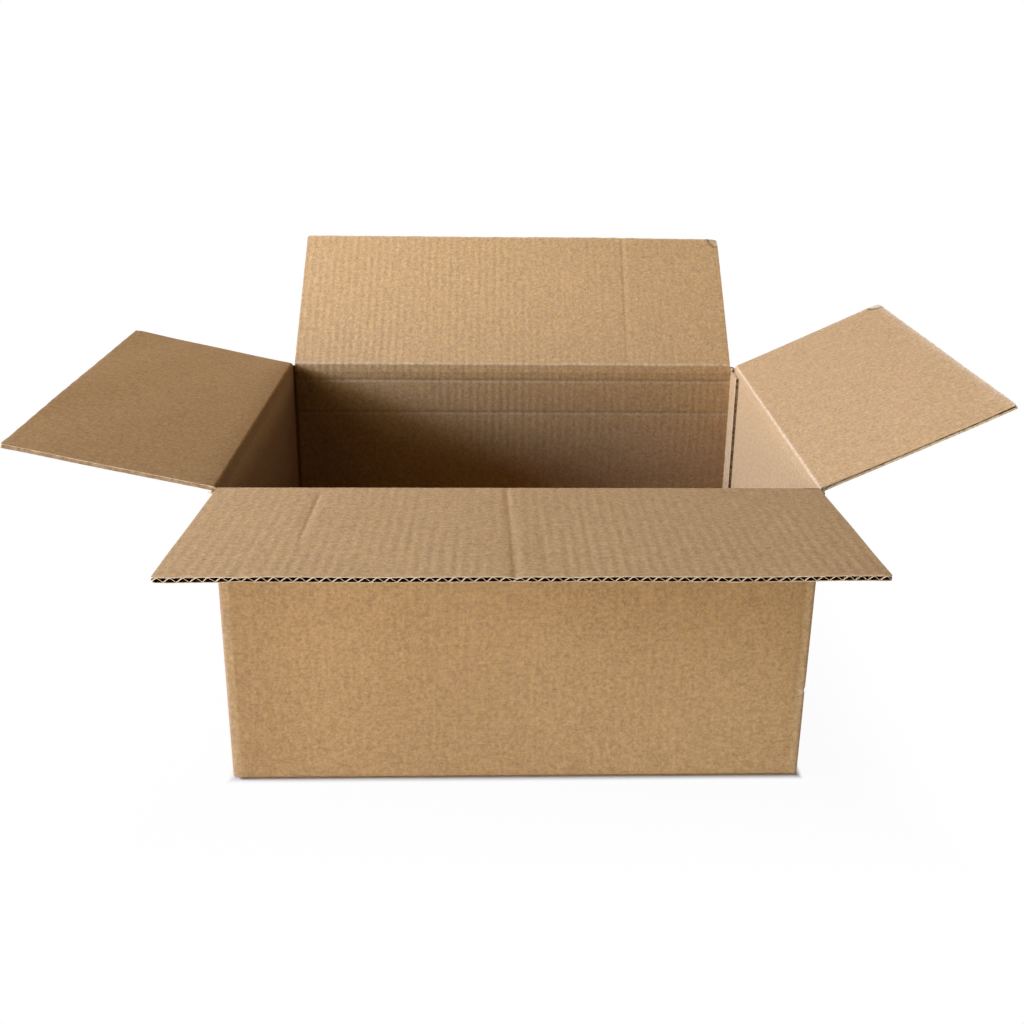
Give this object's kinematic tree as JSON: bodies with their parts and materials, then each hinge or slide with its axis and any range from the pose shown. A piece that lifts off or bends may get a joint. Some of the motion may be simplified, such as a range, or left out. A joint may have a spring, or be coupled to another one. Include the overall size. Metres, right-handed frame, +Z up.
{
  "type": "open cardboard box",
  "caption": "Open slotted carton of plain brown corrugated board: folded walls, glued corner and bottom, and hinged top flaps spread open.",
  "frame": {"origin": "middle of the carton's footprint, on the floor it stands on", "axes": "+X along the carton's length to the right of the front, +Y from the front to the back, +Z up"},
  "size_m": [0.6311, 0.4732, 0.3087],
  "materials": {
    "board": "matte",
    "flap_board": "matte"
  },
  "bodies": {
    "carton": {"carton_body": "board"},
    "front_flap": {"front_flap": "flap_board"},
    "back_flap": {"back_flap": "flap_board"},
    "left_flap": {"left_flap": "flap_board"},
    "right_flap": {"right_flap": "flap_board"}
  },
  "joints": [
    {"name": "front_crease", "type": "hinge", "parent": "carton", "child": "front_flap", "pos_m": [0, -0.1285, 0.2141], "axis": [-1, 0, 0], "range_deg": [-64.3, 175.7]},
    {"name": "back_crease", "type": "hinge", "parent": "carton", "child": "back_flap", "pos_m": [0, 0.1285, 0.2141], "axis": [1, 0, 0], "range_deg": [-107, 133]},
    {"name": "left_crease", "type": "hinge", "parent": "carton", "child": "left_flap", "pos_m": [-0.1935, 0, 0.2123], "axis": [0, 1, 0], "range_deg": [-72.4, 167.6]},
    {"name": "right_crease", "type": "hinge", "parent": "carton", "child": "right_flap", "pos_m": [0.1935, 0, 0.2123], "axis": [0, -1, 0], "range_deg": [-85.3, 154.7]}
  ]
}
